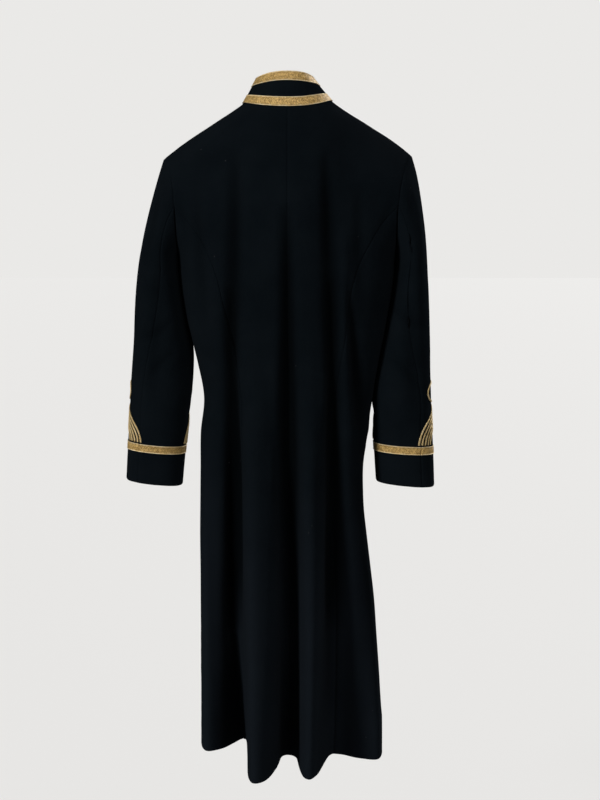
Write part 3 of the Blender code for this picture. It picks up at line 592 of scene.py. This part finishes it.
class Look:
    """A new material: its shader and the nodes that feed it."""

    def __init__(self, name, color, roughness, metallic=0.0):
        self.material = bpy.data.materials.new(name)
        self.material.use_nodes = True
        self.material.diffuse_color = (*color, 1)
        self.shader = self.material.node_tree.nodes["Principled BSDF"]
        self.set_values({"Base Color": (*color, 1), "Roughness": roughness, "Metallic": metallic})

    def node(self, kind, settings, sockets, output=0):
        """One output of a new node, after its settings and its sockets' values or links are set."""
        node = self.material.node_tree.nodes.new(kind)
        for key, value in settings.items():
            setattr(node, key, value)
        for key, value in sockets.items():
            if isinstance(value, Socket):
                self.material.node_tree.links.new(value.output, node.inputs[key])
            else:
                node.inputs[key].default_value = value
        return Socket(self, node.outputs[output])

    def set_values(self, values):
        for key, value in values.items():
            self.shader.inputs[key].default_value = value

    def feed(self, name, value):
        self.material.node_tree.links.new(value.output, self.shader.inputs[name])

    def space(self):
        return self.node("ShaderNodeTexCoord", {}, {}, "Object")

    def map_places(self):
        """The two places of each point in the piece's own map."""
        place = self.node("ShaderNodeTexCoord", {}, {}, "UV")
        return [self.node("ShaderNodeSeparateXYZ", {}, {0: place}, axis) for axis in (0, 1)]

    def noise(self, size, detail=3.0):
        sockets = {"Vector": self.space(), "Scale": 1 / size, "Detail": detail}
        return self.node("ShaderNodeTexNoise", {}, sockets, "Fac")

    def mixed(self, share, first, second):
        """A colour between two."""
        colors = [value if isinstance(value, Socket) else (*value, 1) for value in (first, second)]
        sockets = {MIX_SHARE: share, MIX_FIRST: colors[0], MIX_SECOND: colors[1]}
        return self.node("ShaderNodeMix", {"data_type": "RGBA"}, sockets, MIX_RESULT)

    def bump(self, height, depth):
        """Relief of a depth in metres, for a height from 0 to 1."""
        self.feed("Normal", self.node("ShaderNodeBump", {}, {"Height": height, "Distance": depth}))


def wool_look():
    look = Look("black wool", WOOL_LIGHT, 0.9)
    across, up = look.map_places()
    nap = look.noise(NAP, 2.0)
    tone = (look.noise(CLOUDS, 4.0) * 0.55 + nap * 0.45).step(0.3, 0.7)
    lint = look.noise(LINT_SIZE, 0.0).step(*LINT_SPAN)
    down = 0.0 - look.node("ShaderNodeSeparateXYZ", {}, {0: look.space()}, 2)
    plain_wool = look.mixed(tone, WOOL_DARK, WOOL_LIGHT)
    # Painted light: the wool is made paler toward the hem, in place of light from below.
    tone_shift = look.mixed(down.step(*HEM_LIGHT_SPAN) * HEM_LIGHT_SHARE, plain_wool, WOOL_PAINTED_HEM_LIGHT)
    painted_crease_shade = look.node("ShaderNodeAttribute", {"attribute_name": "painted_crease_shade"}, {}, "Fac")
    # Painted shade: the wool's colour darkens toward near black down in the creases.
    shaded = look.mixed(painted_crease_shade * PAINTED_SHADE_SHARE, tone_shift, WOOL_PAINTED_SHADE)
    look.feed("Base Color", look.mixed(lint, shaded, LINT))
    look.feed("Roughness", nap * 0.2 + 0.72)
    look.bump((across + up).wave(TWILL) * 0.35 + nap * 0.65, NAP_DEPTH)
    look.set_values({"Sheen Weight": 0.01, "Sheen Roughness": 0.6, "Sheen Tint": (0.75, 0.85, 1.0, 1),
                     "Specular IOR Level": 0.0})
    return look.material


# The cut of each piece: width and length of its box when it lies flat, and its area, in metres,
# and the pieces that carry it.
Cut = namedtuple("Cut", "piece width length area carriers")


def dress(piece, material, node):
    """Gives a piece its material, and has it ride in place of its solid."""
    piece.data.materials.append(material)
    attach(piece, "root")
    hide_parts(node)


wool = wool_look()
for name, points in shapes.items():
    piece = cloth_wall(f"{name}_cloth", points, creased_normals[name], painted_crease_shades[name])
    dress(piece, wool, name)


# Braid.
# Flat bands of gold thread round the collar and the cuffs: a woven zigzag between two raised
# cords, laid on the wool and sewn along both edges, so that they follow its small waves.
BRAID_WIDTH = 17.0 * MM
CUFF_BRAID_WIDTH = 15.0 * MM
BRAID_STEP = 3.0 * MM
JOIN_OVERLAP = 0.15 * MM
PATH_CUTS = 12

# Across is a share of half the width, and up is in millimetres.
BRAID_PROFILE = (
    (-1.00, 0.0), (-1.00, 0.7), (-0.97, 1.2), (-0.91, 1.45), (-0.85, 1.2), (-0.82, 0.8),
    (-0.55, 0.95), (-0.28, 1.05), (0.0, 1.1), (0.28, 1.05), (0.55, 0.95),
    (0.82, 0.8), (0.85, 1.2), (0.91, 1.45), (0.97, 1.2), (1.00, 0.7), (1.00, 0.0),
)

# Each braid, and the pieces that it lies on.
BRAIDS = {
    "collar_braid_base": ["collar"],
    "collar_braid_top": ["collar"],
    **{f"cuff_braid_{half}_{side}": [f"top_sleeve_{side}", f"under_sleeve_{side}"]
       for half in ("top", "under") for side in SIDES},
}
GOLD_DEEP = (0.21, 0.115, 0.022)
GOLD = (0.52, 0.34, 0.10)
GOLD_PALE = (0.72, 0.48, 0.165)
EDGE_PALE = (0.88, 0.78, 0.56)
ZIGZAG = 4.4 * MM
THREAD = 0.9 * MM
THREAD_SLANT = 3 * MM
EDGE_TWIST = 1.6 * MM
EDGE_SLANT = 8 * MM
EDGE_SPAN = (0.76, 0.82)
# Size of the painted glints.
GLINT = 3.4 * MM
BRAID_WEAR = 9 * MM
BRAID_DEPTH = 0.45 * MM


def surface_of(names):
    """The outer faces of some panels, to lay trims on."""
    points = []
    faces = []
    for name in names:
        rows, columns = shapes[name].shape[:2]
        spots = np.arange(rows * columns).reshape(rows, columns) + len(points)
        points += shapes[name].reshape(-1, 3).tolist()
        faces += cells_of(spots).tolist()
    return BVHTree.FromPolygons(points, faces)


def even_path(points, closed, step):
    """Points at even steps along the smooth line through some points."""
    points = np.asarray(points)
    beyond = 0
    if closed:
        beyond = 3
        points = np.concatenate([points[-beyond:], points, points[:beyond + 1]])
    cuts = np.linspace(beyond, len(points) - 1 - beyond, PATH_CUTS * len(points))
    fine = resampled(points, cuts)
    lengths = np.concatenate([[0], np.linalg.norm(np.diff(fine, axis=0), axis=1).cumsum()])
    count = max(4, round(lengths[-1] / step))
    places = np.linspace(0, lengths[-1], count + 1)
    spots = np.stack([np.interp(places, lengths, fine[:, axis]) for axis in range(3)], axis=1)
    return spots[:-1] if closed else spots


def swept(name, path, profile, closed, surface):
    """A closed strip with one profile all along a path that lies on a surface.

    The profile is a row of places across and up over the surface, in metres.
    """
    spots = [Vector(spot) for spot in path]
    count = len(spots)
    width = len(profile)
    edge = max(across for across, _up in profile)
    points = []
    uvs = []
    length = 0.0
    for index, spot in enumerate(spots):
        before = spots[index - 1] if index or closed else spot
        after = spots[(index + 1) % count] if index < count - 1 or closed else spot
        _near, normal, _face, _apart = surface.find_nearest(spot)
        side = (after - before).normalized().cross(normal).normalized()
        for across, up in profile:
            near, own, _face, _apart = surface.find_nearest(spot + side * across)
            own = (own + normal).normalized()
            points.append(near + own * up)
            uvs.append((length, across / edge))
        length += (after - spot).length
    faces = []
    for index in range(count if closed else count - 1):
        here = index * width
        there = (index + 1) % count * width
        for place in range(width):
            following = (place + 1) % width
            faces.append((here + place, here + following, there + following, there + place))
    if not closed:
        faces += [tuple(reversed(range(width))), tuple(range((count - 1) * width, count * width))]
    new = add_mesh(name, points, faces, uvs)
    body = bmesh.new()
    body.from_mesh(new.data)
    bmesh.ops.recalc_face_normals(body, faces=body.faces)
    body.to_mesh(new.data)
    body.free()
    return new


def braid_look():
    """Gold thread woven in a zigzag, with twisted edges painted paler as a highlight, and small painted
    glints.

    The braid's map runs in metres along it, and from -1 to 1 across it.
    """
    look = Look("gold braid", GOLD, 0.5, 0.35)
    along, across = look.map_places()
    apart = abs(across)
    zigzag = (along + apart * (CUFF_BRAID_WIDTH / 2)).wave(ZIGZAG)
    thread = (along - apart * THREAD_SLANT).wave(THREAD)
    twist = (along + apart * EDGE_SLANT).wave(EDGE_TWIST)
    tone_shift = look.noise(BRAID_WEAR).step(0.35, 0.7)
    # Painted highlight: small patches where the thread is painted paler, as glints.
    glint = look.noise(GLINT, 2.0).step(0.42, 0.60)
    woven = look.mixed(zigzag * 0.35 + glint * 0.5 + tone_shift * 0.15, GOLD_DEEP, GOLD_PALE)
    twisted = look.mixed(twist * 0.5 + glint * 0.5, GOLD_PALE, EDGE_PALE)
    # Painted highlight: the twisted edges are painted paler than the woven middle.
    look.feed("Base Color", look.mixed(apart.step(*EDGE_SPAN), woven, twisted))
    look.feed("Roughness", thread * 0.2 + 0.4)
    look.bump(zigzag * 0.7 + thread * 0.3, BRAID_DEPTH)
    return look.material


gold_braid = braid_look()
for name, carriers in BRAIDS.items():
    middle = sleeve_middles[side_of(name)] if "cuff" in name else (0.0, 0.0)
    half = (CUFF_BRAID_WIDTH if "cuff" in name else BRAID_WIDTH) / 2
    profile = [(across * half, up * MM) for across, up in BRAID_PROFILE]
    path = even_path(grid_of(name, middle).mean(axis=0), False, BRAID_STEP)
    for end, inside in ((0, 1), (-1, -2)):
        path[end] += (path[end] - path[inside]) * (JOIN_OVERLAP / BRAID_STEP)
    piece = swept(f"{name}_band", path, profile, False, surface_of(carriers))
    dress(piece, gold_braid, name)

# Cords.
# Narrow gold cord of two twisted strands side by side, sewn flat on the sleeve: five nested arches
# from the braid, and three loops in a trefoil over them.
CORD_STEP = 1.6 * MM
CORD_RING = 2.1 * MM
CORD_PALE = (0.82, 0.66, 0.39)
CORD_TWIST = 1.5 * MM
CORD_SLANT = 2.2 * MM
CORD_WEAR = 7 * MM
CORD_DEPTH = 0.3 * MM

# Across and up are in millimetres.
CORD_PROFILE = (
    (-1.50, -0.2), (-1.65, 0.6), (-1.35, 1.35), (-0.80, 1.65), (-0.25, 1.25), (0.0, 0.85),
    (0.25, 1.25), (0.80, 1.65), (1.35, 1.35), (1.65, 0.6), (1.50, -0.2),
)


def cord_path(node):
    """Middle line of a solid cord, and whether it closes on itself.

    The rings of its tube are found by their short edges, and then walked one after another.
    """
    body = bmesh.new()
    body.from_mesh(frame["nodes"][node].data)
    bmesh.ops.remove_doubles(body, verts=body.verts, dist=WELD)
    ring_of = {}
    rings = []
    for start in body.verts:
        if start in ring_of:
            continue
        ring = [start]
        ring_of[start] = len(rings)
        for vert in ring:
            for edge in vert.link_edges:
                other = edge.other_vert(vert)
                if edge.calc_length() < CORD_RING and other not in ring_of:
                    ring_of[other] = len(rings)
                    ring.append(other)
        rings.append(ring)
    middles = [sum((vert.co for vert in ring), Vector()) / len(ring) for ring in rings]
    nearby = [sorted({ring_of[edge.other_vert(vert)] for vert in ring for edge in vert.link_edges}
                     - {index}) for index, ring in enumerate(rings)]
    ends = [index for index, others in enumerate(nearby) if len(others) == 1]
    walk = [ends[0] if ends else 0]
    while True:
        following = [index for index in nearby[walk[-1]] if index not in walk]
        if not following:
            break
        walk.append(following[0])
    body.free()
    return [tuple(middles[index]) for index in walk], not ends


def cord_look():
    look = Look("gold cord", GOLD_PALE, 0.45, 0.3)
    along, across = look.map_places()
    twist = (along + abs(across) * CORD_SLANT).wave(CORD_TWIST)
    tone_shift = look.noise(CORD_WEAR).step(0.35, 0.7)
    look.feed("Base Color", look.mixed(twist * 0.55 + tone_shift * 0.45, GOLD, CORD_PALE))
    look.feed("Roughness", twist * 0.15 + 0.38)
    look.bump(twist, CORD_DEPTH)
    return look.material


gold_cord = cord_look()
cord_profile = [(across * MM, up * MM) for across, up in CORD_PROFILE]
for name in [node for node in frame["nodes"] if node.startswith("cord_")]:
    side = name.split("_")[2]
    points, closed = cord_path(name)
    path = even_path(points, closed, CORD_STEP)
    carriers = surface_of([f"top_sleeve_{side}", f"under_sleeve_{side}"])
    piece = swept(f"{name}_sewn", path, cord_profile, closed, carriers)
    dress(piece, gold_cord, name)

# Buttons.
# Plain domed buttons of stamped brass with a raised rim, sewn down the closed front: one is turned up
# in rings from a disc, and set in each button's place with its back on the cloth.
BUTTON_CORNERS = 48

# Radius of each ring in millimetres, and its height as a share of the button's.
BUTTON_RINGS = (
    (5.0, 0.05), (8.0, 0.08), (10.2, 0.13), (10.9, 0.20), (11.0, 0.30), (10.7, 0.42), (10.2, 0.52),
    (9.7, 0.54), (9.25, 0.49), (9.0, 0.44), (8.7, 0.50), (8.0, 0.61), (6.8, 0.74), (5.2, 0.86),
    (3.4, 0.95), (1.6, 0.99),
)
SHANK_RADIUS = 2.6
BRASS = (0.60, 0.42, 0.16)
BRASS_WORN = (0.30, 0.19, 0.07)
TARNISH = 4 * MM


def button_place(node):
    """Turn and place of a solid button's back, with its outward direction as Z, and its rise."""
    points = np.array([tuple(vert.co) for vert in frame["nodes"][node].data.vertices])
    middle = points.mean(axis=0)
    _sizes, ways = np.linalg.eigh(np.cov((points - middle).T))
    out = ways[:, 0] if ways[1, 0] < 0 else -ways[:, 0]
    heights = (points - middle) @ out
    low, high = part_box(node)
    center = (np.array(low) + np.array(high)) / 2
    center += out * (heights.min() - (center - middle) @ out)
    turn = Vector(out).to_track_quat("Z", "Y").to_matrix().to_4x4()
    return Matrix.Translation(center) @ turn, heights.max() - heights.min()


def button_look():
    look = Look("brass button", BRASS, 0.32, 0.9)
    tarnish = look.noise(TARNISH, 4.0)
    look.feed("Base Color", look.mixed(tarnish.step(0.35, 0.75), BRASS, BRASS_WORN))
    look.feed("Roughness", tarnish * 0.3 + 0.2)
    return look.material


def turned_button(name, height):
    """A button turned up round Z from a small disc at its back, with its height along Z."""
    bpy.ops.object.select_all(action="DESELECT")
    bpy.ops.mesh.primitive_circle_add(vertices=BUTTON_CORNERS, radius=SHANK_RADIUS * MM,
                                      fill_type="NGON")
    button = bpy.context.object
    button.name = button.data.name = name
    bpy.ops.object.mode_set(mode="EDIT")
    bpy.ops.mesh.select_all(action="SELECT")
    radius = SHANK_RADIUS
    level = 0.0
    for ring_radius, ring_level in BUTTON_RINGS:
        lift = (0, 0, (ring_level - level) * height)
        bpy.ops.mesh.extrude_region_move(TRANSFORM_OT_translate={"value": lift})
        widening = ring_radius / radius
        bpy.ops.transform.resize(value=(widening, widening, 1),
                                 center_override=(0, 0, ring_level * height))
        radius = ring_radius
        level = ring_level
    bpy.ops.mesh.extrude_region_move(TRANSFORM_OT_translate={"value": (0, 0, (1 - level) * height)})
    bpy.ops.mesh.merge(type="CENTER")
    bpy.ops.mesh.select_all(action="SELECT")
    bpy.ops.mesh.normals_make_consistent(inside=False)
    bpy.ops.object.mode_set(mode="OBJECT")
    bpy.ops.object.shade_smooth()
    return button


brass_button = button_look()
for name in [node for node in frame["nodes"] if node.startswith("button_")]:
    place, height = button_place(name)
    piece = turned_button(f"{name}_dome", height)
    piece.data.transform(place)
    dress(piece, brass_button, name)

# Stage, light and camera.
# A plain pale studio, even all round, seen from behind and a little above the coat's middle. The
# main light comes from the coat's left, with a weaker one at its right and one in front. The floor
# lies well under the hem: it looks as pale as the rest, and throws little light up.
FLOOR_DROP = 0.35
FLOOR_SIZE = 120.0
FLOOR_TONE = (0.20, 0.198, 0.195)
FLOOR_GLOW = 0.79
STUDIO_TONE = (0.823, 0.815, 0.800)
STUDIO_LIGHT = 0.24
Sun = namedtuple("Sun", "name place strength spread")
SUNS = (
    Sun("key", (1.30, 1.15, 0.40), 2.3, 14),
    Sun("fill", (-0.8, 1.5, 0.15), 1.05, 25),
    Sun("front", (-1.2, -1.3, 0.9), 1.8, 35),
)
CAMERA_PLACE = (-0.0215, 2.4, -0.261)
CAMERA_PITCH = 6.48
CAMERA_LENS = 59.4
CAMERA_SENSOR = 36.0

bpy.ops.object.select_all(action="DESELECT")
bpy.ops.mesh.primitive_plane_add(size=FLOOR_SIZE, location=(0, 0, cad_box[0][2] - FLOOR_DROP))
stage_floor = bpy.context.object
stage_floor.name = "studio_floor"
floor_look = Look("studio floor", FLOOR_TONE, 1.0)
floor_seen = floor_look.node("ShaderNodeLightPath", {}, {}, "Is Camera Ray")
floor_look.feed("Emission Color", floor_look.mixed(floor_seen, (0.0, 0.0, 0.0), STUDIO_TONE))
floor_look.set_values({"Emission Strength": FLOOR_GLOW})
stage_floor.data.materials.append(floor_look.material)

world = bpy.data.worlds.new("studio")
world.use_nodes = True
backdrop = world.node_tree.nodes["Background"]
backdrop.inputs["Color"].default_value = (*STUDIO_TONE, 1)
seen = world.node_tree.nodes.new("ShaderNodeLightPath")
strength = world.node_tree.nodes.new("ShaderNodeMapRange")
strength.inputs["To Min"].default_value = STUDIO_LIGHT
world.node_tree.links.new(seen.outputs["Is Camera Ray"], strength.inputs["Value"])
world.node_tree.links.new(strength.outputs["Result"], backdrop.inputs["Strength"])
bpy.context.scene.world = world
bpy.context.scene.view_settings.view_transform = "Standard"
for sun in SUNS:
    lamp = bpy.data.lights.new(sun.name, "SUN")
    lamp.energy = sun.strength
    lamp.angle = math.radians(sun.spread)
    light = bpy.data.objects.new(sun.name, lamp)
    light.location = sun.place
    light.rotation_euler = Vector(sun.place).to_track_quat("Z", "Y").to_euler()
    bpy.context.scene.collection.objects.link(light)

camera_data = bpy.data.cameras.new("camera")
camera_data.lens = CAMERA_LENS
camera_data.sensor_width = CAMERA_SENSOR
camera = bpy.data.objects.new("camera", camera_data)
camera.location = CAMERA_PLACE
camera.rotation_euler = (math.radians(90 - CAMERA_PITCH), 0, math.radians(180))
bpy.context.scene.collection.objects.link(camera)
bpy.context.scene.camera = camera
